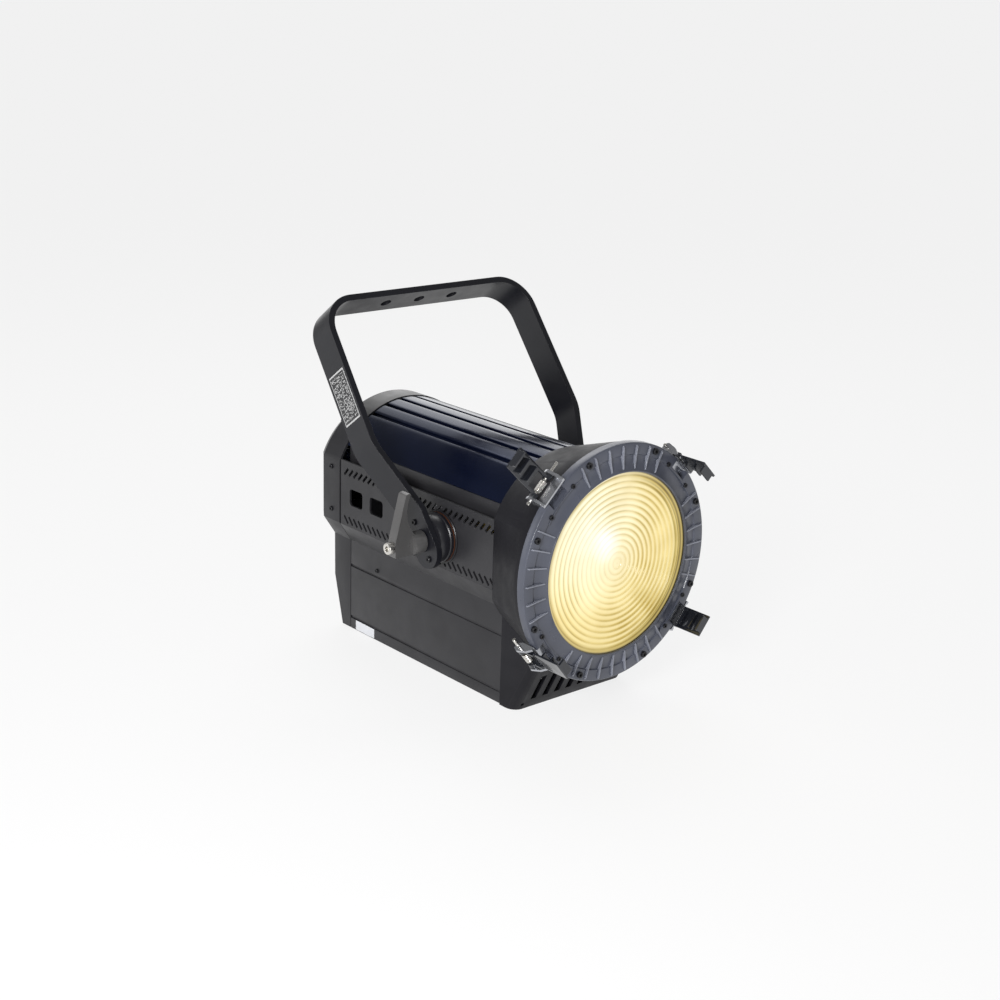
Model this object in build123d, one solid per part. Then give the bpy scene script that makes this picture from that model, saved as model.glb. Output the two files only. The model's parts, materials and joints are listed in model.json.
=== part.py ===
from build123d import *
import os
from math import atan2, cos, degrees, hypot, radians, sin, sqrt

# Studio fresnel spotlight. Millimetres, +Z up, lens facing -Y.
# The origin lies on the base face, on the symmetry plane, straight below the tilt axis.

# ---------------------------------------------------------------- driving dimensions
AXIS_Z = 172.0            # height of the optical axis and of the tilt axis
CLEAR_R = 100.0           # clear opening of the lens

SHEET = 2.5               # side panels and trays
CAST_WALL = 3.0           # die-cast front and rear housings
GAP = 0.3                 # running gap between pieces that move past each other
SEAT = 0.1                # assembly gap between pieces of one body
PIN_PLAY = 0.06           # radial play of a pin or shaft in its bore

LOWER_HALF = 80.5         # half width over the lower side panels
UPPER_HALF = 97.0         # half width over the vented side panels
LEDGE_LOW_Z = 112.0       # foot of the sloping ledge between the two widths
LEDGE_TOP_Z = 136.5
VENT_TOP_Z = 215.0
PANEL_FRONT_Y = -89.0
PANEL_REAR_Y = 187.0
PANEL_FOOT_Z = 0.5

SHELL_R = 104.0           # arched top shell, centred on the optical axis
SHELL_EDGE_Z = 230.0
STRIP_PITCH = 21.0        # spacing of the five raised strips on the top
STRIP_COUNT = 5
STRIP_GROOVE = 4.6
STRIP_DEPTH = 3.6

BELL_REAR_R = 107.0
BELL_FRONT_R = 128.5
BELL_REAR_Y = -89.5
BELL_FRONT_Y = -160.0
FLANGE_Y = -167.0
BOX_HALF = 82.0           # lower box of the front housing
BOX_FOOT_Y = -113.0
BOX_SLOPE = 0.52          # forward lean of the box front, per unit of height

BEZEL_R = 131.0
BEZEL_Y = -177.0          # front of the ribbed band
BEZEL_LIP_Y = -181.5      # front of the raised lip round the lens
BEZEL_BAND_R = 114.0      # inner edge of the ribbed band
SCREW_CIRCLE_R = 124.6
SCREW_COUNT = 8
RIB_COUNT = 48

LENS_R = 104.0
LENS_BACK_Y = -169.5
LENS_FRONT_Y = -177.6
LENS_RINGS = 15

REAR_SEAM_Y = 190.0
REAR_EDGE_Y = 222.0
REAR_FACE_Y = 240.0
REAR_ARCH_R = 105.0
REAR_INSET = 12.0
REAR_FOOT_Y = 206.0
REAR_KNEE_Z = 126.0       # above this the rear face is upright
COVER_SCREW_R = 1.9
COVER_SCREW_Y = 206.0
COVER_SCREW_Z = [150.0, 202.0]

PANEL_HALF = 58.0         # control panel on the rear face
PANEL_LOW_Z = 138.0
PANEL_HIGH_Z = 246.0
PANEL_FACE_Y = REAR_FACE_Y + 1.4
DISPLAY_X = (-52.0, 6.0)
DISPLAY_Z = (208.0, 236.0)
BUTTON_X = [12.0, 23.0, 34.0, 45.0]
BUTTON_Z = 222.0
BUTTON_R = 3.6
CONNECTOR_X = 28.0
POWER_Z = 192.0
DATA_Z = 158.0
POWER_R = 13.0
DATA_R = 12.0

YOKE_TILT = 36.8          # backward lean of the yoke at rest, degrees
YOKE_WIDTH = 39.0
YOKE_T = 7.3
YOKE_TOP = 288.6          # tilt axis to the outside of the top bar
YOKE_TAB_X = 123.0        # outside of the upright end tabs
YOKE_TAB_TOP = 30.0
YOKE_TAB_LOW = -32.0      # rounded lower end of the tab
YOKE_KNEE_X = 151.9
YOKE_KNEE_U = 112.6
YOKE_TOP_X = 148.0
YOKE_CORNER_R = 42.0
YOKE_HOLE_R = 6.5
YOKE_HOLE_PITCH = 48.0
YOKE_SCREW_U = 22.0       # screws above and below the pivot, along the tab

PIVOT_R = 5.0
BOSS_R = 30.0
BOSS_T = 2.0
WASHER_R = 28.2
WASHER_T = 0.9
TILT_DISC_R = 28.2
DISC_GAP = 0.3           # between the washer and the disc that turns on it
LEVER_HUB_X = -YOKE_TAB_X - GAP
LEVER_HEAD_X = -163.5     # underside of the left pivot bolt's head
LEVER_HALF = 6.5          # half thickness of the lever

CLIP_ANGLES = {"top_left": 135.0, "top_right": 45.0, "bottom_right": -39.0, "bottom_left": -141.0}
CLIP_OPEN = {"top_left": 92.0, "top_right": 0.0, "bottom_right": 0.0, "bottom_left": 0.0}
CLIP_PIN_R = 1.8
CLIP_AXIS_R = 137.0       # hinge pin's distance from the optical axis
CLIP_AXIS_Y = -159.0
CLIP_TIP_Y = -212.0
CLIP_HALF = 12.5          # half width of the clip arm
CLIP_RAIL = 3.0           # width of the arm's two side rails
CLIP_WINDOW_Y = -176.0    # front end of the window between the rails
LIP_HALF = 9.0            # half width of the lips, which are narrower than the arm
EAR_IN = 15.4
EAR_T = 3.0
NOTCH_HALF = 12.0
NOTCH_FLOOR_R = 119.4
CLIP_SCREW_R = 119.0
CLIP_SCREW_TURN = 9.6     # degrees each side of the clip
CLIP_SCREW_SHANK_R = 1.5
LUG_HALF = 24.0           # half width of the plate that the clip screws hold behind the bezel
LUG_T = 1.9
LUG_LOW_R = 114.8
LUG_HIGH_R = 122.4
PIN_Z = AXIS_Z + CLIP_AXIS_R

ENGINE_FRONT_Y = 10.0     # emitting face with the carriage at rest, at the back of its travel
GUIDE_X = 74.0
GUIDE_Z = 128.0
GUIDE_R = 4.0
LEAD_Z = 100.0
LEAD_R = 4.0
HEATSINK_FOOT_Z = 120.0
HEATSINK_TOP_Z = 224.0
FAN_Y = ENGINE_FRONT_Y + 57.0
FAN_HALF = 52.0
FAN_DEPTH = 22.0
FAN_SPOKE_Y = FAN_Y + 19.5

PARTS = {}


# ---------------------------------------------------------------- helpers
def keep(name, *solids):
    """Store one node; several solids become a group."""
    PARTS[name] = solids[0] if len(solids) == 1 else Compound(children=list(solids))


def block(x0, x1, y0, y1, z0, z1):
    return Pos((x0 + x1) / 2, (y0 + y1) / 2, (z0 + z1) / 2) * Box(abs(x1 - x0), abs(y1 - y0), abs(z1 - z0))


def rod_x(radius, x0, x1, y=0.0, z=AXIS_Z):
    return Pos((x0 + x1) / 2, y, z) * Rot(Y=90) * Cylinder(radius, abs(x1 - x0))


def rod_y(radius, y0, y1, x=0.0, z=AXIS_Z):
    return Pos(x, (y0 + y1) / 2, z) * Rot(X=90) * Cylinder(radius, abs(y1 - y0))


def rod_z(radius, z0, z1, x=0.0, y=0.0):
    return Pos(x, y, (z0 + z1) / 2) * Cylinder(radius, abs(z1 - z0))


def along_y(face, y0, y1):
    """Extrude an X-Z outline from y0 to y1, with y0 below y1."""
    return extrude(Plane.XZ.offset(-y1) * face, amount=y1 - y0)


def along_x(face, x0, x1):
    """Extrude a Y-Z outline from x0 to x1, with x0 below x1."""
    return extrude(Plane.YZ.offset(x0) * face, amount=x1 - x0)


def outline(*points):
    return make_face(Polyline(*points, close=True))


def lathe(*points):
    """Turn a (radius, y) outline about the optical axis."""
    face = Plane.XY.offset(AXIS_Z) * outline(*points)
    return revolve(face, axis=Axis((0, 0, AXIS_Z), (0, 1, 0)))


def about_optical_axis(shape, degrees_from_top):
    """Swing a shape built at the top of the bezel round the optical axis."""
    return Pos(0, 0, AXIS_Z) * Rot(Y=degrees_from_top) * Pos(0, 0, -AXIS_Z) * shape


def mirror_x(shape):
    return mirror(shape, about=Plane.YZ)


def cap_screw(head_r, head_h, shank_r, shank_len):
    """Socket-head screw: head on top of z = 0, shank below."""
    head = Pos(0, 0, head_h / 2) * Cylinder(head_r, head_h)
    head = chamfer(head.edges().group_by(Axis.Z)[-1], head_r * 0.12)
    socket = Pos(0, 0, head_h) * extrude(RegularPolygon(head_r * 0.52, 6), amount=-head_h * 0.6)
    shank = Pos(0, 0, -shank_len / 2) * Cylinder(shank_r, shank_len)
    return head + shank - socket


def facing_front(shape, x, y, z):
    return Pos(x, y, z) * Rot(X=90) * shape


def facing_rear(shape, x, y, z):
    return Pos(x, y, z) * Rot(X=-90) * shape


def facing_side(shape, x, y, z):
    """Point a shape built along +Z away from the symmetry plane."""
    return Pos(x, y, z) * Rot(Y=90 if x > 0 else -90) * shape


# ---------------------------------------------------------------- body sections
def body_section(inset, arch_r):
    """Cross-section of the body: narrow foot, ledge, wide waist and arched top."""
    low = LOWER_HALF - inset
    high = UPPER_HALF - inset
    radius = arch_r - inset
    foot = PANEL_FOOT_Z + inset
    spring_z = AXIS_Z + sqrt(radius ** 2 - high ** 2)
    sides = Polyline((-high, spring_z), (-high, LEDGE_TOP_Z), (-low, LEDGE_LOW_Z), (-low, foot),
                     (low, foot), (low, LEDGE_LOW_Z), (high, LEDGE_TOP_Z), (high, spring_z))
    arch = ThreePointArc((high, spring_z), (0, AXIS_Z + radius), (-high, spring_z))
    return make_face([*sides.edges(), arch])


# ---------------------------------------------------------------- side panels and tray
def lower_side():
    """Left lower side panel with its two long grooves and the ledge flared out at the top."""
    out, inn = -LOWER_HALF, -LOWER_HALF + SHEET
    flare = -UPPER_HALF
    face = outline((out, PANEL_FOOT_Z), (out, LEDGE_LOW_Z), (flare, LEDGE_TOP_Z - SEAT),
                   (flare + SHEET * 1.2, LEDGE_TOP_Z - SEAT), (inn, LEDGE_LOW_Z - 1), (inn, PANEL_FOOT_Z))
    panel = along_y(face, PANEL_FRONT_Y, PANEL_REAR_Y + 2)
    groove_depth = 1.2
    groove_height = 3.4
    for groove_z in (80.6, 14.9):
        panel -= block(out - 1, out + groove_depth, PANEL_FRONT_Y - 1, PANEL_REAR_Y + 3,
                       groove_z - groove_height / 2, groove_z + groove_height / 2)
    screw_y, screw_z, screw_r = 137.0, 88.0, 1.7
    panel -= rod_x(screw_r, out - 1, inn + 1, screw_y, screw_z)
    screw = facing_side(cap_screw(2.6, 1.8, screw_r - PIN_PLAY, SHEET + 3), out, screw_y, screw_z)
    return panel, screw


def vent_side():
    """Left vented panel: two rows of leaning slots, two windows and the boss hole."""
    out, inn = -UPPER_HALF, -UPPER_HALF + SHEET
    panel = block(out, inn, PANEL_FRONT_Y, PANEL_REAR_Y, LEDGE_TOP_Z, VENT_TOP_Z)
    pitch, width, length = 9.15, 3.2, 11.5
    lean = 42.0
    count = 30
    first_y = 176.5
    upper_z, lower_z = 202.5, 144.0
    cutters = []
    for i in range(count):
        y = first_y - i * pitch
        slot = Box(SHEET * 4, width, length)
        cutters.append(Pos(out, y, upper_z) * Rot(X=lean) * slot)
        cutters.append(Pos(out, y, lower_z) * Rot(X=-lean) * slot)
    window = extrude(Plane.YZ * RectangleRounded(25, 20, 4), amount=SHEET * 4)
    for window_y in (157.0, 118.0):
        cutters.append(Pos(out - SHEET * 2, window_y, 173.5) * window)
    cutters.append(rod_x(BOSS_R - 6, out - 1, inn + 1))
    return panel - cutters


def base_tray():
    """Folded tray that closes the underside and carries the electronics."""
    half = LOWER_HALF - SHEET - SEAT
    flange_top = 22.0
    front, rear = PANEL_FRONT_Y + 1, PANEL_REAR_Y + 2
    tray = block(-half, half, front, rear, 0, SHEET)
    for side in (-1, 1):
        tray += block(side * half, side * (half - SHEET), front, rear, SHEET, flange_top)
    slot_count, slot_pitch = 7, 12.0
    for i in range(slot_count):
        x = (i - (slot_count - 1) / 2) * slot_pitch
        tray -= block(x - 2, x + 2, -70, -20, -1, SHEET + 1)
    return tray


def gutter_rail():
    """Left channel between the top shell and the vented panel."""
    foot_x = -UPPER_HALF + SHEET + SEAT
    rail_x = -84.0
    shelf_z = VENT_TOP_Z - 5
    face = outline((foot_x, shelf_z), (rail_x, shelf_z), (rail_x, SHELL_EDGE_Z - 1.5),
                   (rail_x + 2, SHELL_EDGE_Z - 1.5), (rail_x + 2, shelf_z - 2), (foot_x, shelf_z - 2))
    return along_y(face, PANEL_FRONT_Y + SEAT, PANEL_REAR_Y)


def top_shell():
    """Arched shell with raised longitudinal strips over the crown."""
    inner_r = SHELL_R - STRIP_DEPTH - SHEET
    ring = Pos(0, AXIS_Z) * (Circle(SHELL_R) - Circle(inner_r))
    band = ring & Pos(0, SHELL_EDGE_Z + SHELL_R / 2) * Rectangle(2 * SHELL_R, SHELL_R)
    for i in range(STRIP_COUNT + 1):
        x = (i - STRIP_COUNT / 2) * STRIP_PITCH
        angle = degrees(x / SHELL_R)
        groove = Rectangle(STRIP_GROOVE, STRIP_DEPTH * 2)
        band -= Pos(0, AXIS_Z) * Rot(Z=-angle) * Pos(0, SHELL_R) * groove
    return along_y(band, PANEL_FRONT_Y + SEAT, PANEL_REAR_Y + 2)


# ---------------------------------------------------------------- front housing and bezel
def bell_section(radius, half):
    """Circle about the optical axis, flattened at the sides, as four edges."""
    rise = sqrt(radius ** 2 - half ** 2)
    right_top, right_low = (half, AXIS_Z + rise), (half, AXIS_Z - rise)
    left_top, left_low = (-half, AXIS_Z + rise), (-half, AXIS_Z - rise)
    top = ThreePointArc(right_top, (0, AXIS_Z + radius), left_top)
    low = ThreePointArc(left_low, (0, AXIS_Z - radius), right_low)
    left, right = Line(left_top, left_low), Line(right_low, right_top)
    return make_face([top, left, low, right])


def round_section(radius, split):
    """Full circle split into four arcs at the given half angle above the horizontal."""
    c, s = radius * cos(radians(split)), radius * sin(radians(split))
    top = ThreePointArc((c, AXIS_Z + s), (0, AXIS_Z + radius), (-c, AXIS_Z + s))
    left = ThreePointArc((-c, AXIS_Z + s), (-radius, AXIS_Z), (-c, AXIS_Z - s))
    low = ThreePointArc((-c, AXIS_Z - s), (0, AXIS_Z - radius), (c, AXIS_Z - s))
    right = ThreePointArc((c, AXIS_Z - s), (radius, AXIS_Z), (c, AXIS_Z + s))
    return make_face([top, left, low, right])


def bell(inset, overrun):
    """Flared bell from the flat-sided rear rim to the round front rim."""
    radius, half = BELL_REAR_R - inset, UPPER_HALF - inset
    split = degrees(atan2(sqrt(radius ** 2 - half ** 2), half))
    rear = Plane.XZ.offset(-BELL_REAR_Y) * bell_section(radius, half)
    front = Plane.XZ.offset(-BELL_FRONT_Y) * round_section(BELL_FRONT_R - inset, split)
    body = loft([rear, front], ruled=True)
    body += rod_y(BELL_FRONT_R - inset, FLANGE_Y - overrun, BELL_FRONT_Y)
    if overrun:
        body += along_y(bell_section(radius, half), BELL_REAR_Y, BELL_REAR_Y + overrun)
    return body


def front_box(inset, overrun):
    """Lower box under the bell, with its front face leaning forward and rounded corners."""
    foot_y, foot_z = BOX_FOOT_Y + inset, inset
    top_z = AXIS_Z - 30
    face = outline((BELL_REAR_Y + overrun, foot_z), (foot_y, foot_z),
                   (foot_y - BOX_SLOPE * (100 - foot_z), 100), (foot_y - BOX_SLOPE * (100 - foot_z), top_z),
                   (BELL_REAR_Y + overrun, top_z))
    box = along_x(face, -BOX_HALF + inset, BOX_HALF - inset)
    corners = [e for e in box.edges() if abs(e.center().X) > BOX_HALF - inset - 0.01
               and e.center().Y < foot_y - 1 and 5 < e.center().Z < 95]
    return fillet(corners, 12 - inset / 2)


def front_housing():
    body = bell(0, 0) + front_box(0, 0)
    body -= bell(CAST_WALL, 2) + front_box(CAST_WALL, 2)
    flange = lathe((112, FLANGE_Y + SEAT), (BELL_FRONT_R - 1, FLANGE_Y + SEAT),
                   (BELL_FRONT_R - 1, FLANGE_Y + 6), (112, FLANGE_Y + 6))
    body += flange
    slot_pitch, slot_half = 17.0, 4.1
    for i in range(8):
        x = (i - 3.5) * slot_pitch
        body -= block(x - slot_half, x + slot_half, -150, BOX_FOOT_Y + CAST_WALL + 4, 12, 44)
    for i in range(SCREW_COUNT):
        hole = rod_y(2.06, FLANGE_Y - 1, FLANGE_Y + 8, 0, AXIS_Z + SCREW_CIRCLE_R)
        body -= about_optical_axis(hole, 22.5 + i * 360 / SCREW_COUNT)
    for name in CLIP_ANGLES:
        body -= clip_places(lug_plate(SEAT), name)
        body -= clip_screw_holes(name)
    for side in (-1, 1):
        body -= facing_front(Cylinder(1.9, 20), side * 72.0, BOX_FOOT_Y, 7.0)
    return body


def front_bezel():
    """Ring that holds the lens: ribbed flat band, raised lip, and a notch at each clip."""
    seat_r, seat_y, edge = LENS_R + 0.5, BEZEL_LIP_Y + 2.6, 1.5
    ring = lathe((BEZEL_R - edge, BEZEL_Y), (BEZEL_R, BEZEL_Y + edge), (BEZEL_R, FLANGE_Y),
                 (seat_r, FLANGE_Y), (seat_r, seat_y), (CLEAR_R, seat_y), (CLEAR_R, BEZEL_LIP_Y),
                 (CLEAR_R + 2, BEZEL_LIP_Y), (BEZEL_BAND_R, BEZEL_Y + 0.6), (BEZEL_BAND_R + 1, BEZEL_Y))
    ribs = []
    rib = block(-0.8, 0.8, BEZEL_Y - 1.3, BEZEL_Y + 0.5, AXIS_Z + BEZEL_BAND_R + 0.5, AXIS_Z + BEZEL_R - 2.2)
    for i in range(RIB_COUNT):
        angle = i * 360 / RIB_COUNT
        from_screw = (angle - 22.5) % 45
        near_clip = any(abs((angle - 90 + place + 180) % 360 - 180) < 14 for place in CLIP_ANGLES.values())
        if from_screw > 1 and not near_clip:
            ribs.append(about_optical_axis(rib, angle))
    ring += ribs
    cutters = []
    for i in range(SCREW_COUNT):
        hole = rod_y(2.06, BEZEL_Y - 1, FLANGE_Y + 1, 0, AXIS_Z + SCREW_CIRCLE_R)
        cutters.append(about_optical_axis(hole, 22.5 + i * 360 / SCREW_COUNT))
    notch = block(-NOTCH_HALF, NOTCH_HALF, BEZEL_Y - 3, FLANGE_Y + 1,
                  AXIS_Z + NOTCH_FLOOR_R, AXIS_Z + BEZEL_R + 5)
    for name in CLIP_ANGLES:
        cutters.append(clip_places(notch, name))
        cutters += clip_screw_holes(name)
    return ring - cutters


def bezel_screws():
    screw = facing_front(cap_screw(3.6, 2.6, 2.0, 12), 0, BEZEL_Y, AXIS_Z + SCREW_CIRCLE_R)
    return [about_optical_axis(screw, 22.5 + i * 360 / SCREW_COUNT) for i in range(SCREW_COUNT)]


def lens():
    """Fresnel lens: flat back, concentric stepped facets on the front."""
    facet_depth = 1.9
    core_r = 14.0
    step = (CLEAR_R - 1 - core_r) / LENS_RINGS
    points = [(0, LENS_BACK_Y), (0, LENS_FRONT_Y + 0.2), (core_r, LENS_FRONT_Y + facet_depth)]
    for i in range(LENS_RINGS):
        r = core_r + i * step
        points.append((r + 0.15, LENS_FRONT_Y + 0.4))
        points.append((r + step, LENS_FRONT_Y + facet_depth))
    points += [(CLEAR_R - 0.8, LENS_FRONT_Y), (LENS_R, LENS_FRONT_Y), (LENS_R, LENS_BACK_Y)]
    return lathe(*points)


def lens_gasket():
    """Flat ring between the bezel's lip and the lens rim."""
    inner_r, squeeze = CLEAR_R + 0.6, 0.05
    front, back = BEZEL_LIP_Y + 2.6 + squeeze, LENS_FRONT_Y - squeeze
    return lathe((inner_r, front), (LENS_R, front), (LENS_R, back), (inner_r, back))


def lens_retainer():
    """Ring behind the lens that presses it into the bezel."""
    bore_r, waist_r, rim_r = LENS_R - 6, LENS_R + 0.3, LENS_R + 7
    back_y = FLANGE_Y + 2.1
    return lathe((bore_r, LENS_BACK_Y + SEAT), (waist_r, LENS_BACK_Y + SEAT), (waist_r, FLANGE_Y + SEAT),
                 (rim_r, FLANGE_Y + SEAT), (rim_r, back_y), (bore_r, back_y))


# ---------------------------------------------------------------- rear housing and controls
def rear_solid(inset, front_y):
    """Rear housing's outside, or its inside when inset: straight skirt, then a tapered back."""
    edge_y, face_y = REAR_EDGE_Y - inset * 0.4, REAR_FACE_Y - inset
    skirt_face = body_section(inset, REAR_ARCH_R)
    back_face = body_section(inset + REAR_INSET, REAR_ARCH_R)
    body = along_y(skirt_face, front_y, edge_y)
    body += loft([Plane.XZ.offset(-edge_y) * skirt_face, Plane.XZ.offset(-face_y) * back_face], ruled=True)
    foot_y = REAR_FOOT_Y - inset
    cutter = outline((foot_y, -5), (foot_y, PANEL_FOOT_Z), (face_y, REAR_KNEE_Z),
                     (face_y + 60, REAR_KNEE_Z), (face_y + 60, -5))
    return body - along_x(cutter, -150, 150)


def rear_cover():
    cover = rear_solid(0, REAR_SEAM_Y) - rear_solid(CAST_WALL, REAR_SEAM_Y - 2)
    ledge, edge = 5.0, 0.2
    cover -= block(-PANEL_HALF + ledge, PANEL_HALF - ledge, REAR_FACE_Y - 8, REAR_FACE_Y + 5,
                   PANEL_LOW_Z + ledge, PANEL_HIGH_Z - ledge)
    cover -= block(-PANEL_HALF - edge, PANEL_HALF + edge, REAR_FACE_Y - 1.2, REAR_FACE_Y + 5,
                   PANEL_LOW_Z - edge, PANEL_HIGH_Z + edge)
    grille_pitch, grille_count, grille_half = 9.0, 9, 52.0
    for i in range(grille_count):
        z = 28 + i * grille_pitch
        cover -= block(-grille_half, grille_half, REAR_FOOT_Y - 30, REAR_FACE_Y + 10, z - 2, z + 2)
    for z in COVER_SCREW_Z:
        cover -= rod_x(COVER_SCREW_R, -UPPER_HALF - 1, UPPER_HALF + 1, COVER_SCREW_Y, z)
    return cover


def rear_panel():
    """Control panel plate with openings for the display, buttons and connectors."""
    back, front = REAR_FACE_Y - 1.0, PANEL_FACE_Y
    plate = block(-PANEL_HALF, PANEL_HALF, back, front, PANEL_LOW_Z, PANEL_HIGH_Z)
    plate = chamfer(plate.edges().group_by(Axis.Y)[-1], 0.6)
    plate -= block(*DISPLAY_X, back - 1, front + 1, *DISPLAY_Z)
    for x in BUTTON_X:
        plate -= rod_y(BUTTON_R + GAP, back - 1, front + 1, x, BUTTON_Z)
    for x in (-CONNECTOR_X, CONNECTOR_X):
        plate -= rod_y(POWER_R + 0.2, back - 1, front + 1, x, POWER_Z)
        plate -= rod_y(DATA_R + 0.2, back - 1, front + 1, x, DATA_Z)
    return plate


def panel_screws():
    screw = cap_screw(2.6, 1.8, 1.4, 0.5)
    places = [(sx * (PANEL_HALF - 3.2), z) for sx in (-1, 1) for z in (PANEL_LOW_Z + 3.4, PANEL_HIGH_Z - 3.4)]
    return [facing_rear(screw, x, REAR_FACE_Y + 1.9, z) for x, z in places]


def display_window():
    edge = 0.2
    return block(DISPLAY_X[0] + edge, DISPLAY_X[1] - edge, REAR_FACE_Y - 0.8, REAR_FACE_Y + 1.0,
                 DISPLAY_Z[0] + edge, DISPLAY_Z[1] - edge)


def button(x):
    """Dished cap with a collar that keeps it behind the panel."""
    cap = facing_rear(Cylinder(BUTTON_R, 7.0), x, REAR_FACE_Y, BUTTON_Z)
    cap += facing_rear(Cylinder(BUTTON_R + 1.2, 1.2), x, REAR_FACE_Y - 2.3, BUTTON_Z)
    return cap - Pos(x, REAR_FACE_Y + 3.5 + 9.0, BUTTON_Z) * Sphere(9.6)


def control_board():
    """Circuit board behind the panel, with the display and the four push switches."""
    board = block(-53, 52.5, REAR_FACE_Y - 9.6, REAR_FACE_Y - 8.0, 206, 238)
    board += block(-50, 4, REAR_FACE_Y - 8.0, REAR_FACE_Y - 1.2, 209, 235)
    for x in BUTTON_X:
        board += facing_rear(Cylinder(1.6, 2.6), x, REAR_FACE_Y - 6.7, BUTTON_Z)
    return board


def power_socket(x, keys):
    """Round twist-lock mains connector: flanged shell, deep socket and keyways."""
    z = POWER_Z
    shell = rod_y(POWER_R, REAR_FACE_Y - 24, PANEL_FACE_Y, x, z)
    flange = facing_rear(extrude(RectangleRounded(30, 32, 3), amount=2.4), x, PANEL_FACE_Y, z)
    shell += flange
    shell -= rod_y(10.4, REAR_FACE_Y - 18, REAR_FACE_Y + 5, x, z)
    shell += rod_y(5.2, REAR_FACE_Y - 19, REAR_FACE_Y - 1, x, z)
    for i in range(keys):
        key = block(-1.3, 1.3, REAR_FACE_Y - 12, REAR_FACE_Y + 5, 10.0, 11.8)
        shell -= Pos(x, 0, z) * Rot(Y=i * 360 / keys) * key
    return shell


def data_socket(x, pins, hole):
    """Five-pole round data connector, with pins or with holes."""
    z = DATA_Z
    shell = rod_y(DATA_R, REAR_FACE_Y - 20, PANEL_FACE_Y, x, z)
    flange = facing_rear(extrude(RectangleRounded(26, 29, 2.5), amount=2.0), x, PANEL_FACE_Y, z)
    shell += flange
    depth = REAR_FACE_Y - 3 if hole else REAR_FACE_Y - 12
    shell -= rod_y(9.4, depth, REAR_FACE_Y + 5, x, z)
    for i in range(pins):
        angle = radians(20 + i * 220 / (pins - 1))
        px, pz = x + 6.0 * cos(angle), z - 6.0 * sin(angle)
        if hole:
            shell -= rod_y(1.1, REAR_FACE_Y - 12, REAR_FACE_Y, px, pz)
        else:
            shell += rod_y(0.9, REAR_FACE_Y - 13, REAR_FACE_Y - 1, px, pz)
    return shell


def rear_cover_screws():
    screw = cap_screw(3.0, 2.0, COVER_SCREW_R, 2.4)
    places = [(side * UPPER_HALF, z) for side in (-1, 1) for z in COVER_SCREW_Z]
    return [facing_side(screw, x, COVER_SCREW_Y, z) for x, z in places]


# ---------------------------------------------------------------- yoke and tilt lock
def path_inset(points, distance):
    """Points of an open polyline moved sideways by a distance, mitred at the corners."""
    moved = []
    for i, here in enumerate(points):
        before = points[i - 1] if i else None
        after = points[i + 1] if i + 1 < len(points) else None
        normals = []
        for a, b in ((before, here), (here, after)):
            if a and b:
                length = hypot(b[0] - a[0], b[1] - a[1])
                normals.append(((a[1] - b[1]) / length, (b[0] - a[0]) / length))
        nx = sum(n[0] for n in normals) / len(normals)
        ny = sum(n[1] for n in normals) / len(normals)
        scale = distance / (nx * nx + ny * ny)
        moved.append((here[0] + nx * scale, here[1] + ny * scale))
    return moved


def yoke_outline():
    """Bent bar seen from the front, with the tilt axis at the origin."""
    tab = [(YOKE_TAB_X, YOKE_TAB_LOW), (YOKE_TAB_X, YOKE_TAB_TOP)]
    half = tab + [(YOKE_KNEE_X, YOKE_KNEE_U), (YOKE_TOP_X, YOKE_TOP)]
    outer = half + [(-x, u) for x, u in reversed(half)]
    inner = path_inset(outer, YOKE_T)
    soft, knee = 14.0, 45.0
    outer_r = [soft, knee + YOKE_T, YOKE_CORNER_R, YOKE_CORNER_R, knee + YOKE_T, soft]
    inner_r = [soft + YOKE_T, knee, YOKE_CORNER_R - YOKE_T, YOKE_CORNER_R - YOKE_T, knee, soft + YOKE_T]
    outside = FilletPolyline(*outer, radius=outer_r)
    inside = FilletPolyline(*inner, radius=inner_r)
    ends = [Line(outside @ 0, inside @ 0), Line(outside @ 1, inside @ 1)]
    return make_face([*outside.edges(), *inside.edges(), *ends])


def tilted(shape):
    """Place a shape built about the origin on the tilt axis, leaning back with the yoke."""
    return Pos(0, 0, AXIS_Z) * Rot(X=-YOKE_TILT) * shape


def yoke():
    half = YOKE_WIDTH / 2
    bar = extrude(Plane.XZ.offset(-half) * yoke_outline(), amount=YOKE_WIDTH)
    end = YOKE_TAB_LOW + half
    side_view = Pos(0, end) * Circle(half)
    side_view += Pos(0, (YOKE_TOP + end) / 2) * Rectangle(YOKE_WIDTH, YOKE_TOP - end)
    bar = bar & extrude(Plane.YZ.offset(-200) * side_view, amount=400)
    for i in (-1, 0, 1):
        bar -= Pos(i * YOKE_HOLE_PITCH, 0, YOKE_TOP) * Cylinder(YOKE_HOLE_R, YOKE_T * 4)
    for side in (-1, 1):
        bar -= Pos(side * YOKE_TAB_X, 0, 0) * Rot(Y=90) * Cylinder(PIVOT_R + PIN_PLAY, YOKE_T * 4)
        for u in (-YOKE_SCREW_U, YOKE_SCREW_U):
            bar -= Pos(side * YOKE_TAB_X, 0, u) * Rot(Y=90) * Cylinder(2.1, YOKE_T * 4)
    return tilted(bar)


def yoke_screws():
    screws = []
    for side in (-1, 1):
        for u in (-YOKE_SCREW_U, YOKE_SCREW_U):
            screw = cap_screw(3.4, 2.2, 2.0, YOKE_T + 5)
            screws.append(tilted(Pos(side * YOKE_TAB_X, 0, u) * Rot(Y=90 * side) * screw))
    return screws


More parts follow.
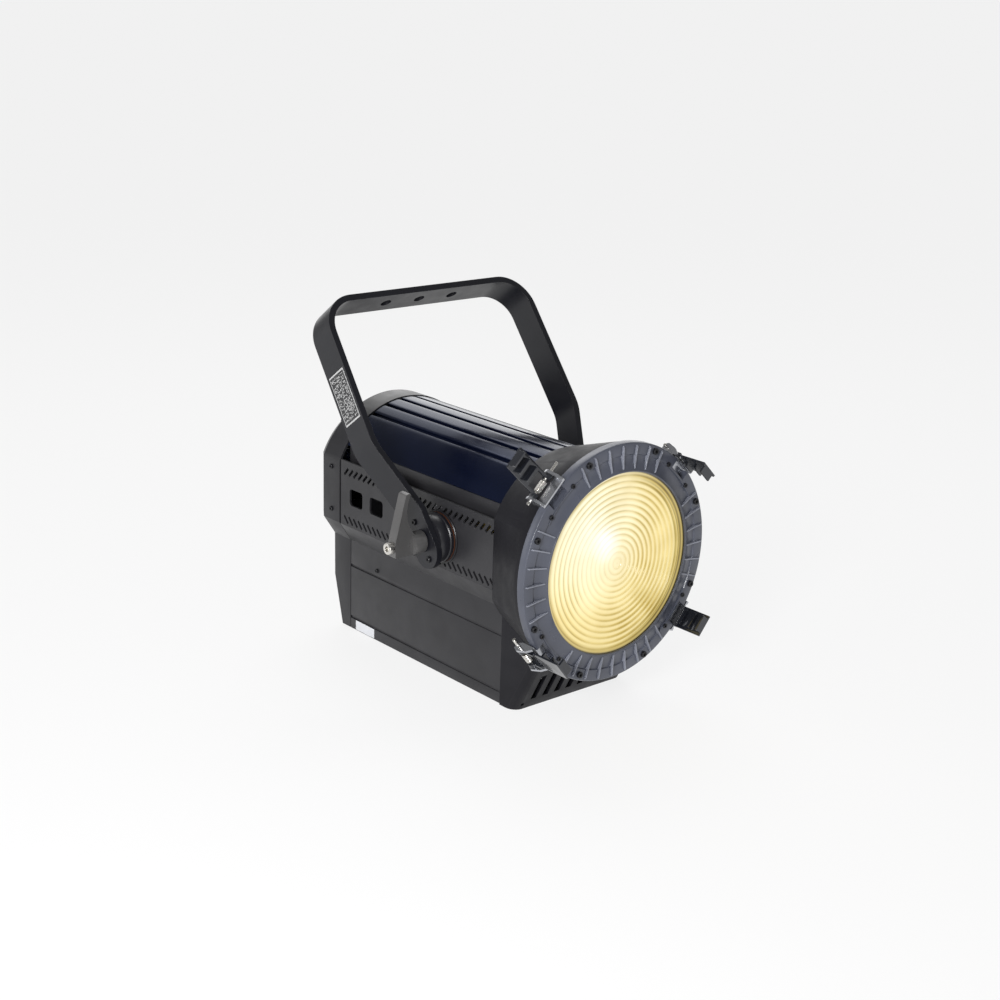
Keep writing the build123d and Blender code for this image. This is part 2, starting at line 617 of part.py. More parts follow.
def tilt_disc():
    """Left clamping disc, screwed to the inside of the yoke tab."""
    outer_x = -YOKE_TAB_X + YOKE_T
    inner_x = -UPPER_HALF - BOSS_T - WASHER_T - DISC_GAP
    disc = rod_x(TILT_DISC_R, -outer_x, -inner_x)
    disc = chamfer(disc.edges().filter_by(GeomType.CIRCLE), 0.8)
    disc -= rod_x(PIVOT_R + PIN_PLAY, UPPER_HALF, YOKE_TAB_X)
    for u in (-YOKE_SCREW_U, YOKE_SCREW_U):
        y, z = u * sin(radians(YOKE_TILT)), AXIS_Z + u * cos(radians(YOKE_TILT))
        disc -= rod_x(2.1, UPPER_HALF, YOKE_TAB_X, y, z)
    return mirror_x(disc)


def tilt_boss():
    """Left boss: steel flange on the vented panel, with a sleeve that reaches inside."""
    boss = rod_x(BOSS_R, -UPPER_HALF - BOSS_T, -UPPER_HALF)
    boss = chamfer(boss.edges().group_by(Axis.X)[0], 0.8)
    boss += rod_x(BOSS_R - 6.2, -UPPER_HALF, -UPPER_HALF + 8)
    return boss - rod_x(PIVOT_R, -UPPER_HALF - 5, -UPPER_HALF + 20)


def friction_washer():
    """Fibre ring between the boss and the clamping disc."""
    outer_x, inner_x = -UPPER_HALF - BOSS_T - WASHER_T, -UPPER_HALF - BOSS_T
    return rod_x(WASHER_R, outer_x, inner_x) - rod_x(PIVOT_R + 0.2, outer_x - 1, inner_x + 1)


def pivot_bolt(head_x, head_r, head_h):
    """Left pivot bolt, fixed in the boss, its head at the outer end."""
    shank = rod_x(PIVOT_R, head_x, -UPPER_HALF + 12)
    head = rod_x(head_r, head_x - head_h, head_x)
    head = chamfer(head.edges().group_by(Axis.X)[0], 0.8)
    socket = extrude(RegularPolygon(head_r * 0.5, 6), amount=-4)
    return shank + head - Pos(head_x - head_h, 0, AXIS_Z) * Rot(Y=-90) * socket


def pivot_nut():
    """Hexagon nut that closes the bolt inside the housing."""
    nut = Pos(-UPPER_HALF + 8.1, 0, AXIS_Z) * Rot(Y=90) * extrude(RegularPolygon(9.5, 6), amount=6)
    return nut - rod_x(PIVOT_R, -UPPER_HALF, -UPPER_HALF + 20)


def lock_lever():
    """Bell-crank clamping lever on the left pivot: outer bar up to a narrow tip, hub at the foot."""
    head_x = LEVER_HEAD_X + GAP
    foot_z, shoulder_z, tip_z = AXIS_Z - 11, AXIS_Z + 7, AXIS_Z + 58
    outer = Polyline((-134, foot_z), (head_x, foot_z), (head_x, shoulder_z), (-150, tip_z), (-142, tip_z + 2))
    hollow = ThreePointArc((-142, tip_z + 2), (-146.5, AXIS_Z + 27), (-134, AXIS_Z + 9))
    fin = make_face([*outer.edges(), hollow, Line((-134, AXIS_Z + 9), (-134, foot_z))])
    lever = along_y(fin, -LEVER_HALF, LEVER_HALF)
    lever = fillet(lever.edges().filter_by(Axis.Y), 1.6)
    hub = rod_x(12.5, -140, LEVER_HUB_X)
    hub = chamfer(hub.edges().group_by(Axis.X)[-1], 1.0)
    lever += hub
    return lever - rod_x(PIVOT_R + PIN_PLAY, head_x - 1, LEVER_HUB_X + 1)


# ---------------------------------------------------------------- accessory clips
# Each clip is built at the top of the bezel, then swung round the optical axis to its place.
def clip_places(shape, name):
    return about_optical_axis(shape, 90 - CLIP_ANGLES[name])


def clip_screw_holes(name):
    hole = rod_y(CLIP_SCREW_SHANK_R, BEZEL_Y - 3, BEZEL_Y + 14, 0, AXIS_Z + CLIP_SCREW_R)
    return [clip_places(about_optical_axis(hole, turn), name) for turn in (-CLIP_SCREW_TURN, CLIP_SCREW_TURN)]


def lug_plate(clearance=0.0):
    """Plate let into the front housing's flange behind the bezel, or its pocket with a clearance."""
    half, foot, head = LUG_HALF + clearance, AXIS_Z + LUG_LOW_R - clearance, AXIS_Z + LUG_HIGH_R + clearance
    front, back = FLANGE_Y + SEAT - clearance, FLANGE_Y + SEAT + LUG_T + clearance
    return block(-half, half, front, back, foot, head)


def clip_bracket(name):
    """Folded bracket: plate behind the bezel, tongue up through the notch, web on the rim, two ears."""
    front, rear = BEZEL_Y + 0.5, FLANGE_Y - SEAT
    sheet = 2.0
    tongue_half = NOTCH_HALF - SEAT
    floor = AXIS_Z + NOTCH_FLOOR_R + SEAT
    web_low, web_top = AXIS_Z + BEZEL_R + GAP, AXIS_Z + BEZEL_R + GAP + sheet
    half = EAR_IN + EAR_T
    bracket = lug_plate()
    bracket += block(-tongue_half, tongue_half, rear - sheet, FLANGE_Y + SEAT, floor, AXIS_Z + LUG_HIGH_R)
    bracket += block(-tongue_half, tongue_half, rear - sheet, rear, floor, web_top)
    bracket += block(-half, half, front, CLIP_AXIS_Y - 5.2, web_low, web_top)
    profile = outline((front, web_low), (front, web_top + 1), (front + 6, PIN_Z + 2),
                      (CLIP_AXIS_Y, PIN_Z + 5.5), (CLIP_AXIS_Y + 5, PIN_Z + 3),
                      (CLIP_AXIS_Y + 5, PIN_Z - 3), (CLIP_AXIS_Y - 1, web_low))
    for side in (-1, 1):
        bracket += along_x(profile, *sorted((side * EAR_IN, side * half)))
    bracket -= rod_x(CLIP_PIN_R, -40, 40, CLIP_AXIS_Y, PIN_Z)
    return clip_places(bracket, name) - clip_screw_holes(name)


def clip_pin(name):
    """Hinge pin, standing further out of the right ear than of the left one."""
    return clip_places(rod_x(CLIP_PIN_R, -23.0, 31.0, CLIP_AXIS_Y, PIN_Z), name)


def clip_spring(name):
    """Close-wound spring round the pin, as one ridged sleeve."""
    turns, wire = 10, 1.6
    points = [(-turns * wire / 2, CLIP_PIN_R + 0.3)]
    for i in range(turns):
        start = (i - turns / 2) * wire
        points += [(start + 0.1, 3.4), (start + wire / 2, 4.1), (start + wire - 0.1, 3.4)]
    points.append((turns * wire / 2, CLIP_PIN_R + 0.3))
    sleeve = revolve(Plane.XY * outline(*points), axis=Axis.X)
    return clip_places(Pos(0, CLIP_AXIS_Y, PIN_Z) * sleeve, name)


def clip_arm(name):
    """Arm with three cross lips that form the accessory channels, and two rails back to the pin."""
    top, sheet = PIN_Z - 1.0, 2.2
    lip_bottom = PIN_Z - 11.5
    arm = block(-CLIP_HALF, CLIP_HALF, CLIP_TIP_Y, CLIP_WINDOW_Y, top - sheet, top)
    lip_count, lip_pitch = 3, 13.3
    for i in range(lip_count):
        y = CLIP_TIP_Y + i * lip_pitch
        bottom = lip_bottom if i == 0 else lip_bottom + 3.0
        arm += block(-LIP_HALF, LIP_HALF, y, y + 2.4, bottom, top)
    rail_in = CLIP_HALF - CLIP_RAIL
    for side in (-1, 1):
        rail = block(side * rail_in, side * CLIP_HALF, CLIP_WINDOW_Y, CLIP_AXIS_Y, top - sheet, top + 2.0)
        knuckle = rod_x(4.6, *sorted((side * rail_in, side * (EAR_IN - GAP))), CLIP_AXIS_Y, PIN_Z)
        arm += [rail, knuckle]
    arm -= rod_x(CLIP_PIN_R + PIN_PLAY, -40, 40, CLIP_AXIS_Y, PIN_Z)
    turned = Pos(0, CLIP_AXIS_Y, PIN_Z) * Rot(X=-CLIP_OPEN[name])
    arm = turned * Pos(0, -CLIP_AXIS_Y, -PIN_Z) * arm
    return clip_places(arm, name)


def clip_screws():
    screw = facing_front(cap_screw(2.6, 1.8, CLIP_SCREW_SHANK_R, 13.5), 0, BEZEL_Y, AXIS_Z + CLIP_SCREW_R)
    turns = (-CLIP_SCREW_TURN, CLIP_SCREW_TURN)
    return [clip_places(about_optical_axis(screw, turn), name) for name in CLIP_ANGLES for turn in turns]


# ---------------------------------------------------------------- light engine and electronics
def front_bulkhead():
    plate = along_y(body_section(SHEET + 1.2, REAR_ARCH_R - 6), PANEL_FRONT_Y + 4, PANEL_FRONT_Y + 6)
    plate = plate & along_y(outline((-94, 96), (94, 96), (94, 206), (81, 206), (81, 270),
                                     (-81, 270), (-81, 206), (-94, 206)), -200, 200)
    plate -= rod_y(70.0, -200, 200)
    for side in (-1, 1):
        plate -= rod_y(GUIDE_R, -200, 200, side * GUIDE_X, GUIDE_Z)
    plate -= rod_y(LEAD_R + PIN_PLAY, -200, 200, 0, LEAD_Z)
    return plate - block(-12, 12, -200, 200, 101, 110)


def rear_bulkhead():
    plate = block(-76, 76, 148, 151, 76, 134)
    for side in (-1, 1):
        plate -= rod_y(GUIDE_R, 140, 160, side * GUIDE_X, GUIDE_Z)
        plate += block(side * 76, side * 80, 148, 151, 120, 134)
        plate -= rod_y(GUIDE_R, 140, 160, side * GUIDE_X, GUIDE_Z)
    return plate - rod_y(LEAD_R + 2.5, 140, 160, 0, LEAD_Z)


def guide_rod():
    return rod_y(GUIDE_R, PANEL_FRONT_Y + 4, 151, -GUIDE_X, GUIDE_Z)


def lead_screw():
    return rod_y(LEAD_R, PANEL_FRONT_Y + 4, 151.9, 0, LEAD_Z)


def zoom_motor():
    body = block(-21, 21, 152.2, 186, LEAD_Z - 21, LEAD_Z + 21)
    body = chamfer(body.edges().filter_by(Axis.Y), 3)
    return body + rod_y(10, 151.1, 152.2, 0, LEAD_Z) - rod_y(LEAD_R + 1, 150, 153, 0, LEAD_Z)


def carriage_plate():
    """Sliding plate that carries the light engine on two guide rods."""
    y0, y1 = ENGINE_FRONT_Y + 6, ENGINE_FRONT_Y + 10
    plate = block(-78, 78, y0, y1, 118, 222)
    plate += block(-12, 12, y0, y1, 90, 118)
    for side in (-1, 1):
        plate += rod_y(8.0, y0, y1 + 18, side * GUIDE_X * 0.99, GUIDE_Z)
    for side in (-1, 1):
        plate -= rod_y(GUIDE_R + PIN_PLAY, y0 - 5, y1 + 30, side * GUIDE_X, GUIDE_Z)
    return plate - rod_y(9.0, y0 - 5, y1 + 5, 0, LEAD_Z)


def lead_nut():
    y0 = ENGINE_FRONT_Y + 6
    nut = rod_y(9.0, y0, y0 + 14, 0, LEAD_Z)
    return nut - rod_y(LEAD_R + PIN_PLAY, y0 - 5, y0 + 30, 0, LEAD_Z)


def led_array():
    base = rod_y(34.0, ENGINE_FRONT_Y + 2.5, ENGINE_FRONT_Y + 6)
    return base + rod_y(24.0, ENGINE_FRONT_Y + 1.5, ENGINE_FRONT_Y + 2.5)


def light_shroud():
    """Open reflector cup round the emitter."""
    foot_y, mouth_y = ENGINE_FRONT_Y + 6, ENGINE_FRONT_Y - 14
    return lathe((36, foot_y), (40, foot_y), (52, mouth_y), (49.5, mouth_y))


def heatsink():
    y0 = ENGINE_FRONT_Y + 10
    base = block(-56, 56, y0, y0 + 8, HEATSINK_FOOT_Z, HEATSINK_TOP_Z)
    fin_count, fin_pitch = 14, 8.2
    for i in range(fin_count):
        x = (i - (fin_count - 1) / 2) * fin_pitch
        base += block(x - 1, x + 1, y0 + 8, y0 + 46, HEATSINK_FOOT_Z, HEATSINK_TOP_Z)
    return base


def fan_frame():
    """Square fan frame with a cross of spokes and a hub that carries the rotor's shaft."""
    back = FAN_Y + FAN_DEPTH
    frame = block(-FAN_HALF, FAN_HALF, FAN_Y, back, AXIS_Z - FAN_HALF, AXIS_Z + FAN_HALF)
    frame -= rod_y(FAN_HALF - 2.5, FAN_Y - 1, back + 1)
    spoke = block(-FAN_HALF + 2, FAN_HALF - 2, FAN_SPOKE_Y, back, AXIS_Z - 2, AXIS_Z + 2)
    frame += [about_optical_axis(spoke, turn) for turn in (0, 90)]
    frame += rod_y(15, FAN_SPOKE_Y, back)
    return frame + rod_y(2.5, FAN_Y + 6, FAN_SPOKE_Y + 0.5)


def fan_rotor():
    """Seven-bladed rotor that runs on the frame's shaft."""
    blade_count = 7
    rotor = rod_y(17, FAN_Y + 2, FAN_SPOKE_Y - 0.7)
    blade = Pos(0, FAN_Y + 10, AXIS_Z + 31) * Rot(Z=38) * Box(17, 1.6, 32)
    for i in range(blade_count):
        rotor += about_optical_axis(blade, i * 360 / blade_count)
    return rotor - rod_y(2.5 + PIN_PLAY, FAN_Y + 5, FAN_SPOKE_Y + 0.5)


def fan_standoffs():
    places = [(x, z) for x in (-49.2, 49.2) for z in (AXIS_Z - 46, AXIS_Z + 46)]
    return [rod_y(2.4, ENGINE_FRONT_Y + 18, FAN_Y, x, z) for x, z in places]


def power_supply():
    """Perforated sheet box of the power supply, on the tray."""
    wall, vent_count, vent_pitch = 1.6, 9, 15.0
    foot_z, top_z = SHEET + SEAT, 52.0
    box = block(-72, 12, -15, 140, foot_z, top_z)
    box = chamfer(box.edges().filter_by(Axis.Y), 1.5)
    box -= block(-72 + wall, 12 - wall, -15 + wall, 140 - wall, foot_z + wall, top_z - wall)
    for i in range(vent_count):
        y = i * vent_pitch
        box -= block(-60, 0, y - 2, y + 2, top_z - 3, top_z + 1)
    return box


def driver_board():
    """Lamp driver board with its coils and capacitors as blocks: x, y, width, depth, height."""
    board_top = 13.6
    board = block(22, 72, -5, 140, 12, board_top)
    components = [(34, 20, 16, 16, 22), (58, 20, 14, 22, 14), (36, 60, 20, 26, 12),
                  (58, 90, 18, 18, 20), (34, 115, 12, 30, 10)]
    for x, y, width, depth, height in components:
        board += Pos(x, y, board_top + height / 2) * Box(width, depth, height)
    return board


def board_posts():
    return [rod_z(2.6, SHEET + SEAT, 12, x, y) for x in (27, 67) for y in (2, 133)]


# ---------------------------------------------------------------- the whole assembly
def build():
    left_lower, side_screw = lower_side()
    left_vent, left_gutter = vent_side(), gutter_rail()
    keep("base_tray", base_tray())
    keep("lower_side_left", left_lower)
    keep("lower_side_right", mirror_x(left_lower))
    keep("vent_side_left", left_vent)
    keep("vent_side_right", mirror_x(left_vent))
    keep("gutter_rails", left_gutter, mirror_x(left_gutter))
    keep("top_shell", top_shell())
    keep("front_housing", front_housing())
    keep("front_bezel", front_bezel())
    keep("bezel_screws", *bezel_screws())
    keep("fresnel_lens", lens())
    keep("lens_gasket", lens_gasket())
    keep("lens_retainer", lens_retainer())
    keep("rear_cover", rear_cover())
    keep("housing_screws", side_screw, mirror_x(side_screw), *rear_cover_screws())
    keep("control_panel", rear_panel())
    keep("panel_screws", *panel_screws())
    keep("display_window", display_window())
    keep("control_board", control_board())
    for name, x in zip(("menu", "down", "up", "enter"), BUTTON_X, strict=True):
        keep("button_" + name, button(x))
    keep("power_inlet", power_socket(-CONNECTOR_X, 3))
    keep("power_outlet", power_socket(CONNECTOR_X, 2))
    keep("data_inlet", data_socket(-CONNECTOR_X, 5, False))
    keep("data_outlet", data_socket(CONNECTOR_X, 5, True))

    keep("tilt_bosses", tilt_boss(), mirror_x(tilt_boss()))
    keep("friction_washers", friction_washer(), mirror_x(friction_washer()))
    keep("pivot_bolt_left", pivot_bolt(LEVER_HEAD_X, 6.5, 7.0))
    keep("pivot_bolt_right", mirror_x(pivot_bolt(-YOKE_TAB_X - GAP, 9.0, 6.0)))
    keep("pivot_nuts", pivot_nut(), mirror_x(pivot_nut()))
    keep("yoke", yoke())
    keep("yoke_screws", *yoke_screws())
    keep("tilt_discs", tilt_disc(), mirror_x(tilt_disc()))
    keep("lock_lever", lock_lever())

    for name in CLIP_ANGLES:
        keep("clip_arm_" + name, clip_arm(name))
    keep("clip_brackets", *[clip_bracket(name) for name in CLIP_ANGLES])
    keep("clip_pins", *[clip_pin(name) for name in CLIP_ANGLES])
    keep("clip_springs", *[clip_spring(name) for name in CLIP_ANGLES])
    keep("clip_screws", *clip_screws())

    keep("front_bulkhead", front_bulkhead())
    keep("rear_bulkhead", rear_bulkhead())
    keep("guide_rods", guide_rod(), mirror_x(guide_rod()))
    keep("lead_screw", lead_screw())
    keep("zoom_motor", zoom_motor())
    keep("carriage_plate", carriage_plate())
    keep("lead_nut", lead_nut())
    keep("led_array", led_array())
    keep("light_shroud", light_shroud())
    keep("heatsink", heatsink())
    keep("fan_frame", fan_frame())
    keep("fan_rotor", fan_rotor())
    keep("fan_standoffs", *fan_standoffs())
    keep("power_supply", power_supply())
    keep("driver_board", driver_board())
    keep("board_posts", *board_posts())


build()
os.makedirs("parts", exist_ok=True)
for node, shape in PARTS.items():
    export_step(shape, f"parts/{node}.step")
print(len(PARTS), "nodes")
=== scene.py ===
import json
from math import cos, pi, radians, sin

import bmesh
import bpy
from mathutils import Matrix, Vector


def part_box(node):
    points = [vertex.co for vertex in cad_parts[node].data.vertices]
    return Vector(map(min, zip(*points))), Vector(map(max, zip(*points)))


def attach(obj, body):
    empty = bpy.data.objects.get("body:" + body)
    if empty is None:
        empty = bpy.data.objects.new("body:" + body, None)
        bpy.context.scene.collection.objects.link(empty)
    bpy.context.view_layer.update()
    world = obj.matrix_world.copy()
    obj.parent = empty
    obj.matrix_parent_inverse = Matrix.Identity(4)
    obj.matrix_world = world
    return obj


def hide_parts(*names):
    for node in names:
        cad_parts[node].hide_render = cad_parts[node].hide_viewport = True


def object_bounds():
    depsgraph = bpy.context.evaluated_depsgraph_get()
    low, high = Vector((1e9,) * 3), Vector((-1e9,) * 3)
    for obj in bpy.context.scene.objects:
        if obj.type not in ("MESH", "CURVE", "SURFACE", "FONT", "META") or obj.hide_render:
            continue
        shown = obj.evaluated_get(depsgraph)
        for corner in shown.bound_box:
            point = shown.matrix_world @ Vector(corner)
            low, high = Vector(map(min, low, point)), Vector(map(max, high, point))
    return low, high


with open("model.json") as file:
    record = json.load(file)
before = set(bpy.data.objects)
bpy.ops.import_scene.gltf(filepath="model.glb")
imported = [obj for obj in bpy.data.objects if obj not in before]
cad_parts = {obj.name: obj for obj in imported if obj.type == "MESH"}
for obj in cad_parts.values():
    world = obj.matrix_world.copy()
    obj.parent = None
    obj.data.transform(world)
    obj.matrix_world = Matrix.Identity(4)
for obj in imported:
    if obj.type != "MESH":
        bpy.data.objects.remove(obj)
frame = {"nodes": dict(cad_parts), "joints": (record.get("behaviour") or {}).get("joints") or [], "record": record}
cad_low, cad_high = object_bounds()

# Studio fresnel spotlight. Metres, +Z up, lens facing -Y, in the frame of the CAD part.
NODES = frame["nodes"]
RECORD = frame["record"]
BODY_OF = {node: body for body, nodes in RECORD["behaviour"]["bodies"].items() for node in nodes}
SLOT_OF = {part["node"]: part["material_slot"] for part in RECORD["subparts"]}
JOINTS = {joint["name"]: joint for joint in frame["joints"]}
CLIPS = ("top_left", "top_right", "bottom_right", "bottom_left")

# ---------------------------------------------------------------- dimensions, some read from the frame, some given
AXIS_Z = JOINTS["tilt_lock"]["pos_m"][2]          # height of the optical axis and of the tilt axis
BEZEL_LOW, BEZEL_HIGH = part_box("front_bezel")
LENS_LOW, LENS_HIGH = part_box("fresnel_lens")
SIDE_PANEL_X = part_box("lower_side_left")[0].x + 0.0165   # face of the flat part of the left lower side
BEZEL_R = (BEZEL_HIGH.x - BEZEL_LOW.x) / 2
BAND_IN_R = BEZEL_R - 0.0135                      # step between the flat band and the cone
CLEAR_R = 0.100                                   # clear opening of the lens
LIP_Y = BEZEL_LOW.y + 0.0010                      # front of the lip round the lens
BAND_Y = BEZEL_LOW.y + 0.0045                     # front of the flat band
RIB_RISE = 0.0022
RIB_HALF = 0.00085
RIB_COUNT = 40
NOTCH_HALF = 0.012                                # half width of the bezel's notch at each clip
NOTCH_FLOOR_R = 0.1194
RING_PITCH = 0.0064                               # between grooves of the lens
RING_COUNT = 15
YOKE_LEAN = radians(36.8)                         # backward lean of the yoke at rest


# ---------------------------------------------------------------- shader helpers
def blank(name, color, roughness, metallic=0.0, **sockets):
    mat = bpy.data.materials.new(name)
    mat.use_nodes = True
    shader = mat.node_tree.nodes["Principled BSDF"]
    shader.inputs["Base Color"].default_value = (*color, 1)
    shader.inputs["Roughness"].default_value = roughness
    shader.inputs["Metallic"].default_value = metallic
    for socket, value in sockets.items():
        shader.inputs[socket.replace("_", " ")].default_value = value
    return mat, shader


def add(mat, kind, **links):
    """Add a shader node and link its inputs; an underscore in a name stands for a space."""
    made = mat.node_tree.nodes.new(kind)
    for name, source in links.items():
        mat.node_tree.links.new(source, made.inputs[name.replace("_", " ")])
    return made


def calc(mat, operation, *terms):
    """One maths step on sockets and plain numbers."""
    made = mat.node_tree.nodes.new("ShaderNodeMath")
    made.operation = operation
    for slot, term in zip(made.inputs, terms):
        if isinstance(term, (int, float)):
            slot.default_value = term
        else:
            mat.node_tree.links.new(term, slot)
    return made.outputs[0]


def place(mat):
    return add(mat, "ShaderNodeTexCoord").outputs["Object"]


def noise(mat, scale, detail=2.0, stretch=(1, 1, 1)):
    mapping = add(mat, "ShaderNodeMapping", Vector=place(mat))
    mapping.inputs["Scale"].default_value = stretch
    made = add(mat, "ShaderNodeTexNoise", Vector=mapping.outputs["Vector"])
    made.inputs["Scale"].default_value = scale
    made.inputs["Detail"].default_value = detail
    return made.outputs["Fac"]


def ramp(mat, factor, *stops):
    made = add(mat, "ShaderNodeValToRGB", Fac=factor)
    elements = made.color_ramp.elements
    while len(elements) < len(stops):
        elements.new(0.5)
    for element, (position, color) in zip(elements, stops):
        element.position = position
        element.color = (*color, 1)
    return made.outputs["Color"]


def spread(mat, factor, low, high, start=0.3, end=0.7):
    made = add(mat, "ShaderNodeMapRange", Value=factor)
    for name, value in (("From Min", start), ("From Max", end), ("To Min", low), ("To Max", high)):
        made.inputs[name].default_value = value
    return made.outputs["Result"]


def bump(mat, shader, height, depth):
    made = add(mat, "ShaderNodeBump", Height=height)
    made.inputs["Distance"].default_value = depth
    mat.node_tree.links.new(made.outputs["Normal"], shader.inputs["Normal"])


def mix(mat, factor, first, second, blend="MIX"):
    made = mat.node_tree.nodes.new("ShaderNodeMix")
    made.data_type = "RGBA"
    made.blend_type = blend
    for slot, term in ((made.inputs[0], factor), (made.inputs[6], first), (made.inputs[7], second)):
        if isinstance(term, (int, float)):
            slot.default_value = term
        elif isinstance(term, tuple):
            slot.default_value = (*term, 1)
        else:
            mat.node_tree.links.new(term, slot)
    return made.outputs[2]


def tint(color, gain):
    return tuple(min(1.0, c * gain) for c in color)


# ---------------------------------------------------------------- finishes
def paint(name, color, roughness, grain=0.0008, depth=0.00004, cloud=16.0, **sockets):
    """Paint with soft clouding, small changes of gloss, and a fine powder-coat grain."""
    mat, shader = blank(name, color, roughness, **sockets)
    link = mat.node_tree.links.new
    tone = ramp(mat, noise(mat, cloud, 4.0), (0.34, tint(color, 0.86)), (0.66, tint(color, 1.14)))
    link(tone, shader.inputs["Base Color"])
    gloss = spread(mat, noise(mat, cloud * 3.3, 3.0), roughness * 0.88, roughness * 1.14)
    link(gloss, shader.inputs["Roughness"])
    bump(mat, shader, noise(mat, 1 / grain, 2.0), depth)
    return mat


def metal(name, color, roughness, stretch=(1, 40, 1), depth=0.00002, **sockets):
    """Turned or brushed metal: fine streaks in tone, gloss and height."""
    mat, shader = blank(name, color, roughness, 1.0, **sockets)
    link = mat.node_tree.links.new
    streaks = noise(mat, 60.0, 3.0, stretch)
    link(ramp(mat, streaks, (0.3, tint(color, 0.8)), (0.7, tint(color, 1.12))), shader.inputs["Base Color"])
    link(spread(mat, streaks, roughness * 0.75, roughness * 1.3), shader.inputs["Roughness"])
    bump(mat, shader, streaks, depth)
    return mat


def distance_to(mat, x, z):
    """Distance, in metres across the lens, from a point of the lens face."""
    split = add(mat, "ShaderNodeSeparateXYZ", Vector=place(mat))
    across = calc(mat, "SUBTRACT", split.outputs["X"], x)
    up = calc(mat, "SUBTRACT", split.outputs["Z"], z)
    return calc(mat, "SQRT", calc(mat, "ADD", calc(mat, "POWER", across, 2.0), calc(mat, "POWER", up, 2.0)))


def lit_lens(name):
    """Warm moulded glass glowing with the lamp's light from behind, with painted light and shade: painted shade
    along the rings, a painted hot spot and haze above the centre, painted shade towards the lower right, and
    painted dark and bright arcs at the rim on the right-hand side.

    Only the front glows, so that the inside of the housing stays dark."""
    mat, shader = blank(name, (0.45, 0.36, 0.16), 0.22, Coat_Weight=0.25, Coat_Roughness=0.12)
    link = mat.node_tree.links.new
    radius = distance_to(mat, 0.0, AXIS_Z)
    phase = calc(mat, "FRACT", calc(mat, "DIVIDE", radius, RING_PITCH))
    warm = ramp(mat, spread(mat, radius, 0.0, 1.0, 0.0, 0.104),
                (0.0, (0.82, 0.69, 0.33)), (0.30, (0.95, 0.81, 0.42)), (0.88, (0.90, 0.75, 0.35)),
                (0.945, (0.60, 0.47, 0.16)), (0.960, (0.03, 0.025, 0.01)))
    # Painted highlight: a pale haze and a white hot spot up and to the left of the centre.
    painted_haze = spread(mat, distance_to(mat, -0.045, AXIS_Z + 0.052), 0.95, 0.0, 0.010, 0.105)
    with_painted_haze = mix(mat, painted_haze, warm, (1.0, 0.97, 0.80))
    painted_hot_spot = spread(mat, distance_to(mat, -0.018, AXIS_Z + 0.026), 1.0, 0.0, 0.004, 0.024)
    with_painted_hot_spot = mix(mat, painted_hot_spot, with_painted_haze, (1.0, 1.0, 0.96))
    # Painted shade: each ring darkened at its groove, less in patches and near the centre.
    painted_groove_shade = ramp(mat, phase, (0.0, (0.56, 0.49, 0.28)), (0.20, (0.96, 0.95, 0.90)), (0.45, (1.0, 1.0, 1.0)),
                  (0.72, (0.86, 0.82, 0.66)), (1.0, (0.50, 0.43, 0.22)))
    patches = spread(mat, noise(mat, 16.0, 2.0), 0.25, 1.0, 0.35, 0.60)
    groove_shade_strength = calc(mat, "MULTIPLY", patches, spread(mat, radius, 0.30, 1.0, 0.004, 0.036))
    groove_shaded = mix(mat, 1.0, with_painted_hot_spot, mix(mat, groove_shade_strength, (1.0, 1.0, 1.0), painted_groove_shade), "MULTIPLY")
    # Painted shade: the glow dims towards the lower right, away from the upper left.
    far_side = distance_to(mat, -0.060, AXIS_Z + 0.060)
    shade = ramp(mat, spread(mat, far_side, 0.0, 1.0, 0.085, 0.185),
                 (0.0, (1, 1, 1)), (1.0, (0.86, 0.86, 0.82)))
    shaded = mix(mat, 1.0, groove_shaded, shade, "MULTIPLY")
    # Painted light and shade: alternating dark and bright arcs at the rim, on the right-hand side only.
    side = add(mat, "ShaderNodeSeparateXYZ", Vector=place(mat)).outputs["X"]
    painted_rim_arcs = ramp(mat, spread(mat, radius, 0.0, 1.0, 0.084, 0.100), (0.0, (1, 1, 1)), (0.16, (1, 1, 1)),
                  (0.28, (0.34, 0.31, 0.14)), (0.38, (0.95, 0.93, 0.80)), (0.52, (0.40, 0.36, 0.16)),
                  (0.64, (1.0, 0.98, 0.85)), (0.78, (0.22, 0.20, 0.08)), (0.90, (1.0, 1.0, 0.92)),
                  (1.0, (0.30, 0.27, 0.12)))
    with_painted_rim_arcs = mix(mat, spread(mat, side, 0.0, 0.85, 0.012, 0.062), (1.0, 1.0, 1.0), painted_rim_arcs)
    glow = mix(mat, 1.0, shaded, with_painted_rim_arcs, "MULTIPLY")
    ripple = ramp(mat, noise(mat, 26.0, 3.0), (0.3, (0.92, 0.90, 0.84)), (0.6, (1.0, 1.0, 1.0)))
    glow = mix(mat, 1.0, glow, ripple, "MULTIPLY")
    depth = add(mat, "ShaderNodeSeparateXYZ", Vector=place(mat)).outputs["Y"]
    glow = mix(mat, spread(mat, depth, 0.0, 1.0, LENS_LOW.y + 0.0030, LENS_HIGH.y), glow, (0.0, 0.0, 0.0))
    link(glow, shader.inputs["Emission Color"])
    link(mix(mat, 0.75, glow, (0.02, 0.015, 0.006)), shader.inputs["Base Color"])
    shader.inputs["Emission Strength"].default_value = 0.89
    return mat


